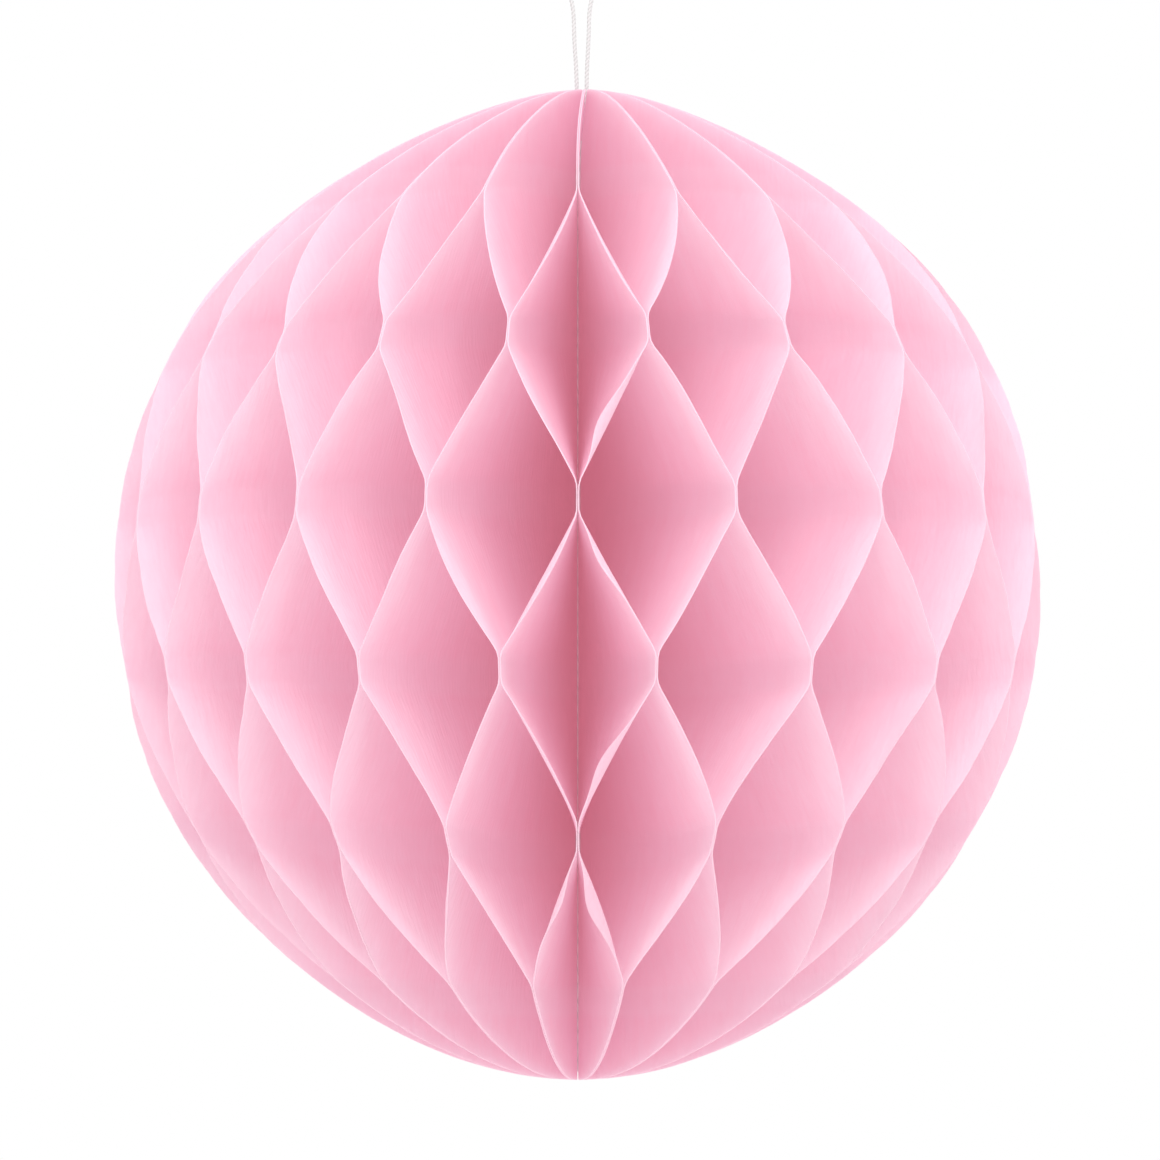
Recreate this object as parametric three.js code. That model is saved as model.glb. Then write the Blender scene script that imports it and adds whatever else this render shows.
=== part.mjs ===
import * as THREE from 'three';

// Honeycomb paper ball: half discs of tissue, gathered along one straight edge and stuck to each
// other in rows, opened out all the way round and hung on a loop of thread.
// Millimetres, +Z up, front towards -Y. The origin is the middle of the ball, on its axis.

// The ball, and the sheets that it is made of
const ballHeight = 100;
const ballWidth = 93.4;
const leafCount = 40;
const leafThickness = 0.1;
const glueFilm = 0.06;

// Where a leaf is stuck to its neighbours, as seen on the rim of the opened ball
const glueRowHeight = 2.8;
const glueRowPitch = 15.6;
const glueRowsMiddle = -1.05;
const lastRowToPole = 6;

// The rim is an ellipse, drawn in towards each pole by a share that grows with a power of the height
const topTaper = 0.32;
const topTaperPower = 5.5;
const bottomTaper = 0.125;
const bottomTaperPower = 3.5;
const tipWidth = 0.5;

// The ball is opened by hand: its cells are this share wider on one front quarter, and narrower
// on the other
const unevenness = 0.0855;

// Two card covers close the ring at the back, stuck face to face
const coverThickness = 0.3;
const coverInset = 0.5;
const coverFilm = 0.06;

// Binding along the axis, that the straight edges are gathered on
const bindingClearance = 0.12;
const bindingGroove = 0.2;
const stitchLength = 10;
const bindingToPole = 0.8;
const bindingToLoop = 0.3;

// Hanging loop. Its route is up one side from inside the upper pole, over, and down the other,
// as sideways place and height above the pole.
const threadDiameter = 0.45;
const loopRoute = [
  [-0.08, -4.8],
  [-0.08, -3.4],
  [-0.08, -1.8],
  [-0.1, 0],
  [-0.14, 1.6],
  [-0.2, 3],
  [-0.31, 4.6],
  [-0.38, 6.4],
  [-0.46, 8.2],
  [-0.76, 9.9],
  [-1.07, 11.6],
  [-0.65, 12.63],
  [0.38, 13.05],
  [1.41, 12.63],
  [1.83, 11.6],
  [1.5, 9.9],
  [1.2, 8.2],
  [1.13, 6.4],
  [1.06, 4.6],
  [0.97, 3],
  [0.92, 1.6],
  [0.9, 0],
  [0.9, -1.8],
  [0.9, -3.4],
  [0.9, -4.8],
];

// How finely the shapes are divided
const leafRadialSteps = 2;
const poleStationShares = [0.5, 0.87];
const coverRimSteps = 24;
const bindingSides = 8;
const threadSides = 8;
const threadStepLength = 1.34;

const poleHeight = ballHeight / 2;
const rimRadius = ballWidth / 2;

// Straight edges of the gathered leaves and covers, side by side round the axis
const leafPitchAtAxis = leafThickness + glueFilm;
const seamStack = coverFilm / 2 + coverThickness + glueFilm / 2;
const gatheredLength = leafCount * leafPitchAtAxis + 2 * seamStack;
const gatheredRadius = gatheredLength / (2 * Math.PI * (1 - unevenness));

// Distance of the rim from the axis at a height
function reachAt(height) {
  const share = Math.min(Math.abs(height) / poleHeight, 1);
  const taper = height > 0 ? topTaper : bottomTaper;
  const power = height > 0 ? topTaperPower : bottomTaperPower;
  const reach = rimRadius * Math.sqrt(1 - share * share) * (1 - taper * share ** power);
  return Math.max(reach, gatheredRadius + tipWidth);
}

// The paper doesn't stretch, so where a cell opens, its glue rows draw together. At the axis
// nothing opens, and they stay as far apart as on the flat sheet.
const rimCellWidth = (2 * Math.PI * rimRadius) / leafCount;
const flatRowPitch = glueRowHeight + Math.hypot(glueRowPitch - glueRowHeight, rimCellWidth);
const axisRise = flatRowPitch / glueRowPitch - 1;

// Height at the axis of the line across a leaf that meets the rim at a height
function heightAtAxis(height) {
  const share = height / poleHeight;
  return height * (1 + axisRise * (1 - share * share));
}

// Heights of the glue rows that fit between the poles, from the bottom up
function glueRows() {
  const rows = [];
  const farthest = poleHeight - lastRowToPole - glueRowHeight / 2;
  const most = Math.ceil(poleHeight / glueRowPitch) + 1;
  for (let i = -most; i < most; i += 1) {
    const height = glueRowsMiddle + (i + 0.5) * glueRowPitch;
    if (Math.abs(height) <= farthest) {
      rows.push({ height, swing: i % 2 === 0 ? -1 : 1 });
    }
  }
  return rows;
}

// Heights at which a leaf's rim turns, from the bottom up, each with the side the leaf swings to:
// 1 or -1 where it is stuck to one neighbour or the other, 0 halfway between them
function leafStations() {
  const rows = glueRows();
  const lowest = rows[0];
  const highest = rows[rows.length - 1];
  const half = glueRowHeight / 2;
  const stations = [{ height: -poleHeight, swing: lowest.swing }];
  for (const share of [...poleStationShares].reverse()) {
    const from = lowest.height - half;
    stations.push({ height: from + (-poleHeight - from) * share, swing: lowest.swing });
  }
  rows.forEach((row, i) => {
    if (i > 0) {
      stations.push({ height: (rows[i - 1].height + row.height) / 2, swing: 0 });
    }
    stations.push({ height: row.height - half, swing: row.swing });
    stations.push({ height: row.height + half, swing: row.swing });
  });
  for (const share of poleStationShares) {
    const from = highest.height + half;
    stations.push({ height: from + (poleHeight - from) * share, swing: highest.swing });
  }
  stations.push({ height: poleHeight, swing: highest.swing });
  return stations;
}

// Angle round the axis, from the front towards +X, of the plane where two leaves meet, for the
// plane's share of the half turn from the front to the seam. Near the axis the covers in the seam
// take a part of the half turn, and the leaves are squeezed into the rest.
function meetingAngle(halfTurnShare, radius) {
  const even = Math.PI * halfTurnShare;
  const opened = even + (unevenness / 2) * (1 - Math.cos(2 * even));
  return opened * (1 - Math.asin(seamStack / radius) / Math.PI);
}

// Point of a leaf: outward runs from 0 at the axis to 1 at the rim, and side is -1 or 1 for the two
// faces of the paper. The leaf lies between two meeting planes, and swings from one to the other.
function leafPoint(index, station, outward, side) {
  const halfCount = leafCount / 2;
  const first = index < halfCount ? index : index - leafCount;
  const radius = gatheredRadius + (reachAt(station.height) - gatheredRadius) * outward;
  const held = Math.asin(leafPitchAtAxis / 2 / radius);
  const from = meetingAngle(first / halfCount, radius) + held;
  const to = meetingAngle((first + 1) / halfCount, radius) - held;
  const swing = index % 2 === 0 ? station.swing : -station.swing;
  const angle = from + ((to - from) * (1 + swing)) / 2;
  const atAxis = heightAtAxis(station.height);
  const through = (side * leafThickness) / 2;
  return [
    radius * Math.sin(angle) + through * Math.cos(angle),
    -radius * Math.cos(angle) + through * Math.sin(angle),
    atAxis + (station.height - atAxis) * outward * outward,
  ];
}

// A leaf is a grid of points on each face of the paper, and a wall round its four edges. Both faces
// are split along the same diagonals, so that the paper is equally thick all over.
function leafGeometry(index, stations) {
  const rows = stations.length;
  const columns = leafRadialSteps + 1;
  const points = [];
  for (const side of [-1, 1]) {
    for (const station of stations) {
      for (let column = 0; column < columns; column += 1) {
        points.push(...leafPoint(index, station, column / leafRadialSteps, side));
      }
    }
  }
  const corners = [];
  const back = (row, column) => row * columns + column;
  const front = (row, column) => (rows + row) * columns + column;
  const quad = (a, b, c, d) => corners.push(a, b, c, a, c, d);
  for (let row = 0; row < rows - 1; row += 1) {
    const fromRimUp = stations[row].swing === 0;
    for (let column = 0; column < leafRadialSteps; column += 1) {
      const square = [[row, column], [row, column + 1], [row + 1, column + 1], [row + 1, column]];
      if (!fromRimUp) {
        square.push(square.shift());
      }
      const [a, b, c, d] = square;
      quad(back(...a), back(...b), back(...c), back(...d));
      quad(front(...a), front(...d), front(...c), front(...b));
    }
    quad(back(row, 0), back(row + 1, 0), front(row + 1, 0), front(row, 0));
    const rim = leafRadialSteps;
    quad(back(row, rim), front(row, rim), front(row + 1, rim), back(row + 1, rim));
  }
  for (let column = 0; column < leafRadialSteps; column += 1) {
    quad(back(0, column), front(0, column), front(0, column + 1), back(0, column + 1));
    const tip = rows - 1;
    quad(back(tip, column), back(tip, column + 1), front(tip, column + 1), front(tip, column));
  }
  const geometry = new THREE.BufferGeometry();
  geometry.setAttribute('position', new THREE.Float32BufferAttribute(points, 3));
  geometry.setIndex(corners);
  return geometry;
}

// A cover is a flat half disc of card, a little smaller than the leaves
function coverGeometry() {
  const outline = new THREE.Shape();
  const end = poleHeight - coverInset;
  outline.moveTo(gatheredRadius, -end);
  for (let i = 0; i <= coverRimSteps; i += 1) {
    const height = -end * Math.cos((Math.PI * i) / coverRimSteps);
    outline.lineTo(reachAt(height) - (coverInset * tipWidth) / (coverInset + tipWidth), height);
  }
  outline.lineTo(gatheredRadius, end);
  return new THREE.ExtrudeGeometry(outline, { depth: coverThickness, bevelEnabled: false });
}

// The binding is a round cord, drawn in between its stitches
function bindingGeometry() {
  const radius = gatheredRadius - bindingClearance;
  const bottom = -poleHeight + bindingToPole;
  const top = poleHeight + loopRoute[0][1] - bindingToLoop;
  const stitches = Math.max(1, Math.round((top - bottom) / stitchLength));
  const profile = [new THREE.Vector2(0, bottom)];
  for (let i = 0; i <= 2 * stitches; i += 1) {
    const height = bottom + ((top - bottom) * i) / (2 * stitches);
    profile.push(new THREE.Vector2(i % 2 === 0 ? radius - bindingGroove : radius, height));
  }
  profile.push(new THREE.Vector2(0, top));
  return new THREE.LatheGeometry(profile, bindingSides);
}

function loopGeometry() {
  const points = loopRoute.map(([x, z]) => new THREE.Vector3(x, 0, poleHeight + z));
  const route = new THREE.CatmullRomCurve3(points);
  const section = new THREE.Shape();
  for (let i = 0; i < threadSides; i += 1) {
    const angle = (2 * Math.PI * i) / threadSides;
    const x = (threadDiameter / 2) * Math.cos(angle);
    const y = (threadDiameter / 2) * Math.sin(angle);
    if (i === 0) {
      section.moveTo(x, y);
    } else {
      section.lineTo(x, y);
    }
  }
  const steps = Math.round(route.getLength() / threadStepLength);
  return new THREE.ExtrudeGeometry(section, { steps, extrudePath: route });
}

function piece(name, geometry, color, roughness) {
  const material = new THREE.MeshStandardMaterial({ color, roughness, metalness: 0 });
  const mesh = new THREE.Mesh(geometry, material);
  mesh.name = name;
  return mesh;
}

const tissuePink = '#f8b9d0';
const cardPink = '#f0a6c1';
const threadWhite = '#f1f0ee';

const ball = new THREE.Group();

const leaves = new THREE.Group();
const stations = leafStations();
for (let i = 0; i < leafCount; i += 1) {
  const name = `leaf_${String(i + 1).padStart(2, '0')}`;
  leaves.add(piece(name, leafGeometry(i, stations), tissuePink, 0.9));
}
ball.add(leaves);

const covers = new THREE.Group();
for (const [name, side] of [['seam_cover_right', 1], ['seam_cover_left', -1]]) {
  const cover = piece(name, coverGeometry(), cardPink, 0.8);
  cover.rotation.set(Math.PI / 2, Math.PI / 2, 0);
  cover.position.x = side > 0 ? coverFilm / 2 : -coverFilm / 2 - coverThickness;
  covers.add(cover);
}
ball.add(covers);

const binding = piece('binding', bindingGeometry(), threadWhite, 0.85);
binding.rotation.x = Math.PI / 2;
ball.add(binding);

ball.add(piece('hanging_loop', loopGeometry(), threadWhite, 0.85));

export default ball;
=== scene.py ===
"""Pink tissue honeycomb ball on its loop of thread.

Metres, +Z up, front towards -Y, with the origin in the middle of the ball."""

import math

import bpy
import numpy as np
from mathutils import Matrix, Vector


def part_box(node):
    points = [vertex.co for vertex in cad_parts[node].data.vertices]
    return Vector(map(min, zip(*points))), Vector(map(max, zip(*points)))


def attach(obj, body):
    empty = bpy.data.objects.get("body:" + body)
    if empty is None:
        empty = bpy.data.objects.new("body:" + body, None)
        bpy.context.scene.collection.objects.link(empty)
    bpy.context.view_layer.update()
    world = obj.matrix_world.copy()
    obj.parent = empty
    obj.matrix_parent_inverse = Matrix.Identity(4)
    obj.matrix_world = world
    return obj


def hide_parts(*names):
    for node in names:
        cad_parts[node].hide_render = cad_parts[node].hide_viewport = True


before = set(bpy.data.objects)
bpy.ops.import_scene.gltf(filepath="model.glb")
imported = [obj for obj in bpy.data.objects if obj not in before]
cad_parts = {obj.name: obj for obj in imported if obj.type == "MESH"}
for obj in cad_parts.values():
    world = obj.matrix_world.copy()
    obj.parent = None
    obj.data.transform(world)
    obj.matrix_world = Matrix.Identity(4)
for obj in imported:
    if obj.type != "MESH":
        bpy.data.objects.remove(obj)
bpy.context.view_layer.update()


# Camera
# The photograph is taken from about 44 cm, a little below the middle of the ball, with the ball's axis
# almost in the middle of the picture.
camera_distance = 0.437
camera_elevation = math.radians(-1.4)
sensor_width = 36
photo_side = 1160
focal_length_pixels = 4313
ball_middle_pixel = (577.8, 583.6)

camera = bpy.data.objects.new("camera", bpy.data.cameras.new("camera"))
bpy.context.scene.collection.objects.link(camera)
camera.data.sensor_width = sensor_width
camera.data.lens = focal_length_pixels / photo_side * sensor_width
camera.data.shift_x = (photo_side / 2 - ball_middle_pixel[0]) / photo_side
camera.data.shift_y = (ball_middle_pixel[1] - photo_side / 2) / photo_side
camera.location = (
    0,
    -camera_distance * math.cos(camera_elevation),
    camera_distance * math.sin(camera_elevation),
)
camera.rotation_euler = (math.pi / 2 - camera_elevation, 0, 0)
bpy.context.scene.camera = camera


# Hanging loop
# A doubled white cotton thread of three plies. It comes up out of the upper pole, passes over whatever
# holds the ball and goes back in beside itself. Both ends are caught in the binding.
pole_height = 0.05
thread_diameter = 0.00045
thread_plies = 3
thread_lay = 0.0013
thread_groove = 0.2
thread_sides = 24
thread_steps = 14
cotton_pale = (0.76, 0.755, 0.75, 1)
cotton_shadow = (0.58, 0.575, 0.57, 1)
cotton_grain = 9000
cotton_fuzz = 0.00003
crease_angle = math.radians(50)
loop_route = np.array([
    (-0.00008, -0.0048),
    (-0.00008, -0.0034),
    (-0.00008, -0.0018),
    (-0.0001, 0.0),
    (-0.00014, 0.0016),
    (-0.0002, 0.003),
    (-0.00031, 0.0046),
    (-0.00038, 0.0064),
    (-0.00046, 0.0082),
    (-0.00076, 0.0099),
    (-0.00107, 0.0116),
    (-0.00065, 0.01263),
    (0.00038, 0.01305),
    (0.00141, 0.01263),
    (0.00183, 0.0116),
    (0.0015, 0.0099),
    (0.0012, 0.0082),
    (0.00113, 0.0064),
    (0.00106, 0.0046),
    (0.00097, 0.003),
    (0.00092, 0.0016),
    (0.0009, 0.0),
    (0.0009, -0.0018),
    (0.0009, -0.0034),
    (0.0009, -0.0048),
])


class Shade:
    """A shader socket. A sum, difference or product with it adds a Math node."""

    def __init__(self, finish, socket):
        self.finish = finish
        self.socket = socket

    def math(self, operation, first, second):
        return self.finish.node("ShaderNodeMath", {"operation": operation}, {0: first, 1: second})

    def __add__(self, other):
        return self.math("ADD", self, other)

    def __radd__(self, other):
        return self.math("ADD", other, self)

    def __sub__(self, other):
        return self.math("SUBTRACT", self, other)

    def __rsub__(self, other):
        return self.math("SUBTRACT", other, self)

    def __mul__(self, other):
        return self.math("MULTIPLY", self, other)

    def __rmul__(self, other):
        return self.math("MULTIPLY", other, self)


class Finish:
    """The nodes of a material or of the world, added one at a time by one method."""

    def __init__(self, owner):
        owner.use_nodes = True
        self.owner = owner
        self.tree = owner.node_tree
        self.tree.nodes.clear()

    def node(self, kind, settings, sockets, output=0):
        made = self.tree.nodes.new(kind)
        for name, value in settings.items():
            setattr(made, name, value)
        for name, value in sockets.items():
            if isinstance(value, Shade):
                self.tree.links.new(value.socket, made.inputs[name])
            else:
                made.inputs[name].default_value = value
        return Shade(self, made.outputs[output]) if made.outputs else None

    def stretched(self, place, stretch):
        """The place with each of its axes multiplied by its own number."""
        return self.node("ShaderNodeVectorMath", {"operation": "MULTIPLY"}, {0: place, 1: stretch})

    def noise(self, place, scale, detail):
        """Noise from 0 to 1, mostly near 0.5."""
        sockets = {"Vector": place, "Scale": scale, "Detail": detail}
        return self.node("ShaderNodeTexNoise", {}, sockets)

    def between(self, value, low, high):
        """0 where the value is under low, 1 where it is over high, and a smooth rise between."""
        sockets = {"Value": value, "From Min": low, "From Max": high}
        return self.node("ShaderNodeMapRange", {"interpolation_type": "SMOOTHSTEP"}, sockets)

    def blend(self, share, first, second):
        """A colour between two, by a share from 0 to 1."""
        settings = {"data_type": "RGBA", "blend_type": "MIX"}
        return self.node("ShaderNodeMix", settings, {0: share, 6: first, 7: second}, output=2)

    def bump(self, height, distance):
        """A normal turned by a height, given as a share of the distance."""
        sockets = {"Height": height, "Distance": distance, "Strength": 1.0}
        return self.node("ShaderNodeBump", {}, sockets)


def smooth_route(points, steps):
    """Points on a curve through the given ones: between two of them a cubic, whose slope at each is set by
    the points on its two sides, weighted by the square roots of the distances to them."""
    ends = np.vstack([2 * points[0] - points[1], points, 2 * points[-1] - points[-2]])
    gap = np.sqrt(np.linalg.norm(np.diff(ends, axis=0), axis=1))[:, None]
    before, here, after = gap[:-2], gap[1:-1], gap[2:]
    p0, p1, p2, p3 = ends[:-3], ends[1:-2], ends[2:-1], ends[3:]
    leaving = ((p1 - p0) / before - (p2 - p0) / (before + here) + (p2 - p1) / here) * here
    arriving = ((p2 - p1) / here - (p3 - p1) / (here + after) + (p3 - p2) / after) * here
    t = (np.arange(steps) / steps)[:, None, None]
    curve = (
        (2 * t**3 - 3 * t**2 + 1) * p1
        + (t**3 - 2 * t**2 + t) * leaving
        + (3 * t**2 - 2 * t**3) * p2
        + (t**3 - t**2) * arriving
    )
    return np.vstack([curve.transpose(1, 0, 2).reshape(-1, points.shape[1]), points[-1]])


def twisted_cord(path, radius, plies, lay, groove, sides):
    """Points of a cord round a path in the plane of x and z, and its middle line. Its section is a circle
    whose radius dips between the plies, as the cosine of the angle times the number of plies, and it
    turns once in a lay."""
    along = np.gradient(path, axis=0)
    along /= np.linalg.norm(along, axis=1)[:, None]
    length = np.concatenate([[0], np.cumsum(np.linalg.norm(np.diff(path, axis=0), axis=1))])
    angle = 2 * math.pi * np.arange(sides) / sides
    turn = 2 * math.pi * length[:, None] / lay
    reach = radius * (1 - groove / 2 + groove / 2 * np.cos(plies * (angle - turn)))
    sideways = np.stack([along[:, 1], np.zeros(len(path)), -along[:, 0]], axis=1)
    centre = np.stack([path[:, 0], np.zeros(len(path)), path[:, 1]], axis=1)
    forward = np.array([0, 1, 0])
    points = centre[:, None] + reach[..., None] * (
        np.cos(angle)[:, None] * sideways[:, None] + np.sin(angle)[:, None] * forward
    )
    return points.reshape(-1, 3), centre


def cord_faces(rings, sides):
    """Four-sided faces between neighbouring rings, and one face over each end."""
    ring, side = np.meshgrid(np.arange(rings - 1), np.arange(sides), indexing="ij")
    after = (side + 1) % sides
    corners = [ring * sides + side, ring * sides + after]
    corners += [(ring + 1) * sides + after, (ring + 1) * sides + side]
    faces = np.stack(corners, axis=-1).reshape(-1, 4).tolist()
    faces.append(list(range(sides))[::-1])
    faces.append(list(range((rings - 1) * sides, rings * sides)))
    return faces


def new_piece(name, points, faces, finish, replaced):
    """A smooth mesh object with its place in its mesh, which stands for one node of the model."""
    mesh = bpy.data.meshes.new(name)
    mesh.from_pydata(points.tolist(), [], faces)
    mesh.shade_smooth()
    mesh.set_sharp_from_angle(angle=crease_angle)
    mesh.materials.append(finish.owner)
    piece = bpy.data.objects.new(name, mesh)
    bpy.context.scene.collection.objects.link(piece)
    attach(piece, "root")
    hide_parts(replaced)
    return piece


def point_values(piece, name, values):
    """Keeps a number or a vector for each point of the mesh, for its material to read."""
    kind, field = ("FLOAT", "value") if values.ndim == 1 else ("FLOAT_VECTOR", "vector")
    attribute = piece.data.attributes.new(name, kind, "POINT")
    attribute.data.foreach_set(field, values.astype(np.float32).ravel())


def cotton_finish():
    """White cotton: with painted shade in the grooves between its plies, with fine fibres and a soft
    sheen.
    """
    cotton = Finish(bpy.data.materials.new("cotton_thread"))
    place = cotton.node("ShaderNodeTexCoord", {}, {}, output=3)
    fibres = cotton.noise(place, cotton_grain, detail=3)
    groove = cotton.node("ShaderNodeAttribute", {"attribute_name": "groove"}, {}, output=2)
    # Painted shade in the grooves, mixed with the random tone of the fibres
    shadow = cotton.between(groove, 0.1, 1.0) * 0.6 + fibres * 0.4
    surface = cotton.node("ShaderNodeBsdfPrincipled", {}, {
        "Base Color": cotton.blend(shadow, cotton_pale, cotton_shadow),
        "Roughness": fibres * 0.2 + 0.75,
        "Specular IOR Level": 0.2,
        "Sheen Weight": 0.3,
        "Sheen Roughness": 0.5,
        "Normal": cotton.bump(fibres, cotton_fuzz),
    })
    cotton.node("ShaderNodeOutputMaterial", {}, {"Surface": surface})
    return cotton


def thread_piece(name, path, radius, lay, finish, replaced):
    """A three-ply cord along a path, with how deep each point lies in a groove kept for its material.
    Gives the piece and its middle line."""
    points, centre = twisted_cord(path, radius, thread_plies, lay, thread_groove, thread_sides)
    faces = cord_faces(len(path), thread_sides)
    piece = new_piece(name, points, faces, finish, replaced)
    depth = radius - np.linalg.norm(points - np.repeat(centre, thread_sides, axis=0), axis=1)
    point_values(piece, "groove", depth / (radius * thread_groove))
    return piece, centre


cotton = cotton_finish()
loop_path = smooth_route(loop_route + (0, pole_height), thread_steps)
hanging_loop, loop_centre = thread_piece(
    "hanging_thread", loop_path, thread_diameter / 2, thread_lay, cotton, "hanging_loop"
)


# Leaves
# Half discs of pink tissue, die-cut, stacked and stuck to each other in rows, which take turns between
# the two neighbours. Their straight edges are gathered on the axis, and opening the stack all the way
# round pulls the paper between the rows into diamond cells.
rim_radius = 0.0467
leaf_count = 40
leaf_thickness = 0.0001
glue_film = 0.00006
cover_thickness = 0.0003
cover_film = 0.00006
glue_row_height = 0.0028
glue_row_pitch = 0.0156
glue_rows_middle = -0.00105
glue_row_count = 6
top_taper, top_taper_power = 0.32, 5.5
bottom_taper, bottom_taper_power = 0.125, 3.5
tip_width = 0.0005
unevenness = 0.0855
rounding = 0.0005
rounding_steps = 9
row_wander = 0.00016
plane_wander = math.radians(0.14)
free_from = 0.625
billow = 0.0002
billow_length = 0.045
lip_size = 0.0005
lip_width = 0.0014
lip_turn = 0.5
lip_wander = 0.6
lip_wander_length = 0.05
curl_size = 1.6
curl_height = 0.003
# Heights at which the rims of the two front leaves curl over, by the leaf's place in the ring
front_curls = {0: (0.0135, 0.0012, -0.0172, -0.031), leaf_count - 1: (-0.0305,)}
rim_wander = 0.00003
rim_wander_length = 0.006
top_lean = 0.0007
top_lean_from = 0.04
rows_on_leaf = 216
rows_crowding = 0.45
columns_on_leaf = 20
columns_crowding = 1.7
pattern_step = 0.01
glue_fade = 0.0005
fibre_grain = (2200, 420, 100)
cloud_grain = (420, 160, 100)
crinkle_height = 0.00006
# Width of the band at the cut rim that is painted paler, as painted light
painted_rim_light_width = 0.005
# Distances from the rim over which the colour is painted deeper towards the axis, as painted shade
painted_shade_from, painted_shade_to = 0.007, 0.045
pale_pink = (0.985, 0.73, 0.825, 1)
full_pink = (0.975, 0.61, 0.715, 1)
# Paler pink at the glue rows: painted light, standing in for the light that comes through the single paper
# elsewhere
glue_pink_painted_light = (0.985, 0.8, 0.87, 1)
# Deep rose painted in towards the axis as painted shade
painted_shade_rose = (0.8, 0.42, 0.49, 1)
light_through = (0.995, 0.89, 0.935, 1)

glue_rows = glue_rows_middle + (np.arange(glue_row_count) - (glue_row_count - 1) / 2) * glue_row_pitch
glue_swings = np.where(np.arange(glue_row_count) % 2 == 0, 1.0, -1.0)
leaf_pitch = leaf_thickness + glue_film
seam_stack = cover_film / 2 + cover_thickness + glue_film / 2
gathered_radius = (leaf_count * leaf_pitch + 2 * seam_stack) / (2 * math.pi * (1 - unevenness))
rim_cell_width = 2 * math.pi * rim_radius / leaf_count
flat_row_pitch = glue_row_height + math.hypot(glue_row_pitch - glue_row_height, rim_cell_width)
axis_rise = flat_row_pitch / glue_row_pitch - 1

chance = np.random.default_rng(11)
# How far each glue row strays on each plane where two leaves meet, and how far each plane strays
row_strays = chance.normal(0, row_wander, (leaf_count, glue_row_count))
plane_strays = chance.normal(0, plane_wander, leaf_count)
plane_strays[[0, leaf_count // 2]] = 0


def reach_at(height):
    """Distance of the rim from the axis: an ellipse, drawn in towards a pole by a power of the height."""
    share = np.minimum(np.abs(height) / pole_height, 1)
    taper = np.where(height > 0, top_taper, bottom_taper)
    power = np.where(height > 0, top_taper_power, bottom_taper_power)
    reach = rim_radius * np.sqrt(1 - share**2) * (1 - taper * share**power)
    return np.maximum(reach, gathered_radius + tip_width)


def height_at_axis(height):
    """Height at the axis of the line across a leaf that meets the rim at a height. The rows draw together
    at the rim, where the cells open, by a share that falls to nothing at the poles."""
    return height * (1 + axis_rise * (1 - (height / pole_height) ** 2))


def lean_at(z):
    """How far the top leans to the right: nothing up to a height, and from there by the square."""
    return top_lean * np.clip((z - top_lean_from) / (pole_height - top_lean_from), 0, 1) ** 2


def meeting_angle(plane, radius):
    """Angle from the front of the plane where two leaves meet: even steps, wider on one front quarter
    and narrower on the other, less the room that the covers take at the seam."""
    even = 2 * math.pi * plane / leaf_count
    opened = even + unevenness / 2 * (1 - math.cos(2 * even)) + plane_strays[plane % leaf_count]
    return opened * (1 - np.arcsin(seam_stack / radius) / math.pi)


def swing_at(index, first_plane, height):
    """Which neighbour a leaf lies against at a height, from -1 to 1: flat at each glue row, straight
    between two of them, and averaged over a short height so that the paper leaves the glue in a curve."""
    parity = 1 if index % 2 == 0 else -1
    swings = parity * glue_swings
    planes = np.where(swings < 0, first_plane, first_plane + 1) % leaf_count
    rows = glue_rows + row_strays[planes, np.arange(glue_row_count)]
    corners = np.stack([rows - glue_row_height / 2, rows + glue_row_height / 2], axis=1).ravel()
    at_corners = np.repeat(swings, 2)
    shifts = np.linspace(-rounding, rounding, rounding_steps)
    return np.mean([np.interp(height + shift, corners, at_corners) for shift in shifts], axis=0)


def waves(place, longest, count):
    """Smooth random wave of size about 1: a sum of sines, each shorter and smaller than the last."""
    total = np.zeros_like(place)
    for step in range(1, count + 1):
        total += np.sin(2 * math.pi * (place * step / longest + chance.random())) / step
    return total


def sheet_faces(rows, columns):
    """Faces of a sheet with two sides of rows by columns points each, and walls round its edge."""
    back = np.arange(rows * columns).reshape(rows, columns)
    front = back + rows * columns
    sides = [
        (back[:-1, :-1], back[:-1, 1:], back[1:, 1:], back[1:, :-1]),
        (front[:-1, :-1], front[1:, :-1], front[1:, 1:], front[:-1, 1:]),
        (back[:-1, 0], back[1:, 0], front[1:, 0], front[:-1, 0]),
        (back[:-1, -1], front[:-1, -1], front[1:, -1], back[1:, -1]),
        (back[0, :-1], front[0, :-1], front[0, 1:], back[0, 1:]),
        (back[-1, :-1], back[-1, 1:], front[-1, 1:], front[-1, :-1]),
    ]
    return np.vstack([np.stack(side, axis=-1).reshape(-1, 4) for side in sides]).tolist()


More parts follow.
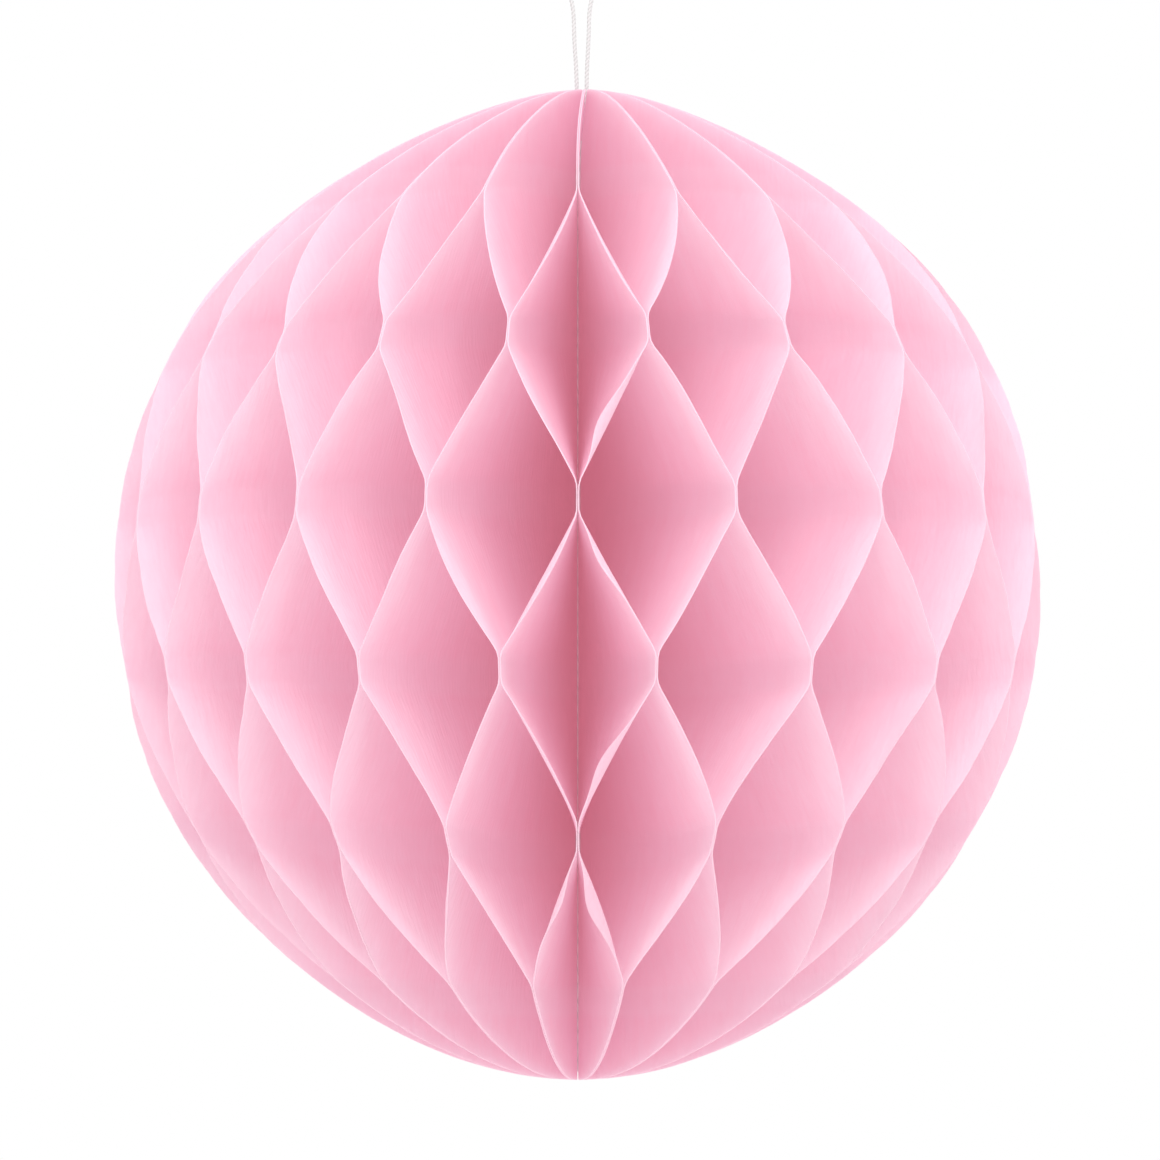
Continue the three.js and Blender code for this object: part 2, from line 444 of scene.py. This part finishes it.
def leaf_points(index):
    """A leaf between its two meeting planes: the angle round the axis goes from one plane to the other
    with the swing, the same at every distance, so that a cell is as wide as its distance is great. On to
    this come a billow between the glue rows and a lip that turns the cut rim a little to one side."""
    first_plane = index if index < leaf_count // 2 else index - leaf_count
    turn = np.linspace(-1, 1, rows_on_leaf)
    crowded = np.sin(math.pi / 2 * turn)
    height = pole_height * ((1 - rows_crowding) * turn + rows_crowding * crowded)
    outward = 1 - (1 - np.linspace(0, 1, columns_on_leaf)) ** columns_crowding
    swing = swing_at(index, first_plane, height)
    reach = reach_at(height) + rim_wander * waves(height, rim_wander_length, count=5)
    radius = gathered_radius + (reach - gathered_radius)[:, None] * outward
    held = np.arcsin(leaf_pitch / 2 / radius)
    start = meeting_angle(first_plane, radius) + held
    end = meeting_angle(first_plane + 1, radius) - held
    angle = start + (end - start) * (1 + swing[:, None]) / 2
    free = (1 - swing**2)[:, None] * np.minimum(radius / (free_from * rim_radius), 1)
    from_rim = reach[:, None] - radius
    curls = sum(np.exp(-(((height - middle) / curl_height) ** 2)) for middle in front_curls.get(index, ()))
    turned = lip_turn + lip_wander * waves(height, lip_wander_length, count=2) + curl_size * curls
    lip = np.clip(1 - from_rim / lip_width, 0, 1) ** 2 * turned[:, None]
    bow = np.sin(math.pi * outward) * waves(height, billow_length, count=3)[:, None]
    side_step = free * (lip_size * lip * (1 if index % 2 else -1) + billow * bow)
    angle = angle + side_step / radius
    at_axis = height_at_axis(height)[:, None]
    z = at_axis + (height[:, None] - at_axis) * outward**2
    two_sides = []
    for through in (-leaf_thickness / 2, leaf_thickness / 2):
        x = radius * np.sin(angle) + through * np.cos(angle) + lean_at(z)
        y = -radius * np.cos(angle) + through * np.sin(angle)
        two_sides.append(np.stack([x, y, z], axis=-1).reshape(-1, 3))
    own_pattern = np.full(z.shape, index * pattern_step)
    sheet = np.stack([radius, np.broadcast_to(at_axis, z.shape), own_pattern], axis=-1)
    to_row = np.min(np.abs(height[:, None] - glue_rows), axis=1)
    glued = np.clip(1 - (to_row - glue_row_height / 2) / glue_fade, 0, 1)
    glued = np.broadcast_to(glued[:, None], z.shape)
    return (
        np.vstack(two_sides),
        np.tile(sheet.reshape(-1, 3), (2, 1)),
        np.tile(glued.ravel(), 2),
        np.tile(from_rim.ravel(), 2),
    )


def tissue_finish():
    """Pink tissue: thin enough that light passes, with long fibres that run up the sheet, a cloudy
    thickness and fine crinkles. Its colour is painted paler at the cut rim and at the glue rows, as
    painted light, and deeper towards the axis, as painted shade."""
    tissue = Finish(bpy.data.materials.new("pink_tissue"))
    place = tissue.node("ShaderNodeAttribute", {"attribute_name": "sheet"}, {}, output=1)
    glue = tissue.node("ShaderNodeAttribute", {"attribute_name": "glue"}, {}, output=2)
    from_rim = tissue.node("ShaderNodeAttribute", {"attribute_name": "from_rim"}, {}, output=2)
    fibres = tissue.noise(tissue.stretched(place, fibre_grain), 1, detail=2)
    clouds = tissue.noise(tissue.stretched(place, cloud_grain), 1, detail=1)
    # Random patches of fibre and cloud, and a band at the rim painted paler as painted light
    beyond_painted_rim_light = tissue.between(from_rim, 0.0, painted_rim_light_width)
    patches_and_rim_light = fibres * 0.9 + clouds * 0.7 + beyond_painted_rim_light * 0.6 - 0.75
    base = tissue.blend(patches_and_rim_light, pale_pink, full_pink)
    # Painted light: the glue rows are painted paler
    glued = tissue.blend(glue * 0.25, base, glue_pink_painted_light)
    # Painted shade: the colour deepens towards the axis
    depth = tissue.between(from_rim, painted_shade_from, painted_shade_to)
    normal = tissue.bump(fibres, crinkle_height)
    paper = tissue.node("ShaderNodeBsdfPrincipled", {}, {
        "Base Color": tissue.blend(depth * 0.88, glued, painted_shade_rose),
        "Roughness": 0.85,
        "Specular IOR Level": 0.15,
        "Normal": normal,
    })
    sockets = {"Color": light_through, "Normal": normal}
    through = tissue.node("ShaderNodeBsdfTranslucent", {}, sockets)
    share = 0.6 - clouds * 0.1
    surface = tissue.node("ShaderNodeMixShader", {}, {0: share, 1: paper, 2: through})
    tissue.node("ShaderNodeOutputMaterial", {}, {"Surface": surface})
    return tissue


tissue = tissue_finish()
faces_of_leaf = sheet_faces(rows_on_leaf, columns_on_leaf)
for index in range(leaf_count):
    points, sheet, glued, from_rim = leaf_points(index)
    node = f"leaf_{index + 1:02d}"
    leaf = new_piece(f"tissue_{node}", points, faces_of_leaf, tissue, node)
    point_values(leaf, "sheet", sheet)
    point_values(leaf, "glue", glued)
    point_values(leaf, "from_rim", from_rim)


# Seam covers
# Two half discs of pink card, cut a little smaller than the leaves. The first and the last leaf are
# stuck to them, and the covers are stuck face to face at the back, which closes the ring.
cover_inset = 0.0005
rows_on_cover = 120
columns_on_cover = 12
card_pale = (0.93, 0.52, 0.66, 1)
card_deep = (0.84, 0.38, 0.54, 1)
card_grain = (1500, 1500, 4000)
card_cloud = 180
card_fuzz = 0.00003


def cover_points(side):
    """A flat half disc on one side of the seam, from the gathered edges out to just inside the rim."""
    turn = np.linspace(-1, 1, rows_on_cover)
    height = (pole_height - cover_inset) * np.sin(math.pi / 2 * turn)
    outward = np.linspace(0, 1, columns_on_cover)
    rim = reach_at(height) - cover_inset / 2
    y = gathered_radius + (rim - gathered_radius)[:, None] * outward
    z = np.broadcast_to(height[:, None], y.shape)
    lean = lean_at(z)
    inner, outer = side * cover_film / 2, side * (cover_film / 2 + cover_thickness)
    low, high = (inner, outer) if side < 0 else (outer, inner)
    return np.vstack([np.stack([x + lean, y, z], axis=-1).reshape(-1, 3) for x in (high, low)])


def card_finish():
    """Dyed card: matte, with short fibres in it and a faint cloudiness."""
    card = Finish(bpy.data.materials.new("pink_card"))
    place = card.node("ShaderNodeTexCoord", {}, {}, output=3)
    fibres = card.noise(card.stretched(place, card_grain), 1, detail=3)
    clouds = card.noise(place, card_cloud, detail=2)
    surface = card.node("ShaderNodeBsdfPrincipled", {}, {
        "Base Color": card.blend(fibres * 0.6 + clouds * 0.4, card_pale, card_deep),
        "Roughness": fibres * 0.2 + 0.7,
        "Specular IOR Level": 0.25,
        "Normal": card.bump(fibres, card_fuzz),
    })
    card.node("ShaderNodeOutputMaterial", {}, {"Surface": surface})
    return card


card = card_finish()
faces_of_cover = sheet_faces(rows_on_cover, columns_on_cover)
for name, side in (("seam_cover_right", 1), ("seam_cover_left", -1)):
    new_piece(f"card_{name}", cover_points(side), faces_of_cover, card, name)


# Binding
# The stitching through the straight edges, as one twisted cotton cord along the axis. It shows only
# from above and from below, in the eye of the gathered leaves.
binding_clearance = 0.00012
binding_lay = 0.0045
binding_steps = 260
bottom, top = (corner.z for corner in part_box("binding"))
heights = np.linspace(bottom, top, binding_steps)
binding_path = np.stack([np.zeros(binding_steps), heights], axis=1)
binding_radius = gathered_radius - binding_clearance
thread_piece("binding_cord", binding_path, binding_radius, binding_lay, cotton, "binding")


# Floor
# A plain pale floor, far enough below the hanging ball to stay out of the photograph's view. The camera
# sees it turn into the white background with distance, and near the ball it keeps the shadow.
floor_depth = 0.25
floor_radius = 1.5
floor_sides = 96
white_from, white_to = 0.32, 0.8
floor_grain = 60
floor_pale = (0.9, 0.9, 0.9, 1)
floor_dull = (0.87, 0.87, 0.87, 1)


def floor_finish():
    """Matte white, which the camera sees as pure white away from the ball."""
    floor = Finish(bpy.data.materials.new("studio_floor"))
    place = floor.node("ShaderNodeTexCoord", {}, {}, output=3)
    far = floor.node("ShaderNodeVectorMath", {"operation": "LENGTH"}, {0: place}, output=1)
    seen = floor.node("ShaderNodeLightPath", {}, {}, output=0)
    grain = floor.noise(place, floor_grain, detail=2)
    matte = floor.node("ShaderNodeBsdfPrincipled", {}, {
        "Base Color": floor.blend(grain, floor_pale, floor_dull),
        "Roughness": 0.9,
        "Specular IOR Level": 0.2,
    })
    white = floor.node("ShaderNodeEmission", {}, {"Color": (1, 1, 1, 1), "Strength": 1.0})
    share = floor.between(far, white_from, white_to) * seen
    surface = floor.node("ShaderNodeMixShader", {}, {0: share, 1: matte, 2: white})
    floor.node("ShaderNodeOutputMaterial", {}, {"Surface": surface})
    return floor


floor_turn = 2 * math.pi * np.arange(floor_sides) / floor_sides
floor_rim = np.stack([
    floor_radius * np.cos(floor_turn),
    floor_radius * np.sin(floor_turn),
    np.full(floor_sides, -floor_depth),
], axis=1)
floor_mesh = bpy.data.meshes.new("floor")
floor_mesh.from_pydata(floor_rim.tolist(), [], [list(range(floor_sides))])
floor_mesh.materials.append(floor_finish().owner)
floor = bpy.data.objects.new("floor", floor_mesh)
bpy.context.scene.collection.objects.link(floor)


# Light
# A white room that lights the ball from all round, more from above than from below, and one large soft
# lamp above its front. Light that has turned back in the paper more than twice is taken to come from the
# room itself.
room_light_below = 0.7
room_light_above = 1.3
turns_in_paper = 2
paper_gap = 0.00004
deep_light = 0.85
lamp_power = 3.9
lamp_size = 0.5
lamp_place = (0.06, -0.7, 0.75)

world = bpy.data.worlds.new("white_room")
bpy.context.scene.world = world
world.cycles.sampling_method = "NONE"
world.light_settings.distance = paper_gap
world.light_settings.ao_factor = deep_light
bpy.context.scene.cycles.use_fast_gi = True
bpy.context.scene.cycles.fast_gi_method = "REPLACE"
bpy.context.scene.cycles.ao_bounces_render = turns_in_paper
bpy.context.scene.cycles.use_light_tree = False
room = Finish(world)
seen = room.node("ShaderNodeLightPath", {}, {}, output=0)
way = room.node("ShaderNodeTexCoord", {}, {}, output=0)
upward = room.node("ShaderNodeSeparateXYZ", {}, {"Vector": way}, output=2)
light = room.between(upward, -1.0, 1.0) * (room_light_above - room_light_below) + room_light_below
strength = light + seen * (1 - light)
background = room.node("ShaderNodeBackground", {}, {"Color": (1, 1, 1, 1), "Strength": strength})
room.node("ShaderNodeOutputWorld", {}, {"Surface": background})

lamp = bpy.data.objects.new("lamp", bpy.data.lights.new("lamp", "AREA"))
bpy.context.scene.collection.objects.link(lamp)
lamp.data.energy = lamp_power
lamp.data.size = lamp_size
lamp.location = lamp_place
tilt = math.atan2(math.hypot(lamp_place[0], lamp_place[1]), lamp_place[2])
lamp.rotation_euler = (tilt, 0, math.atan2(lamp_place[0], -lamp_place[1]))

bpy.context.scene.view_settings.view_transform = "Standard"
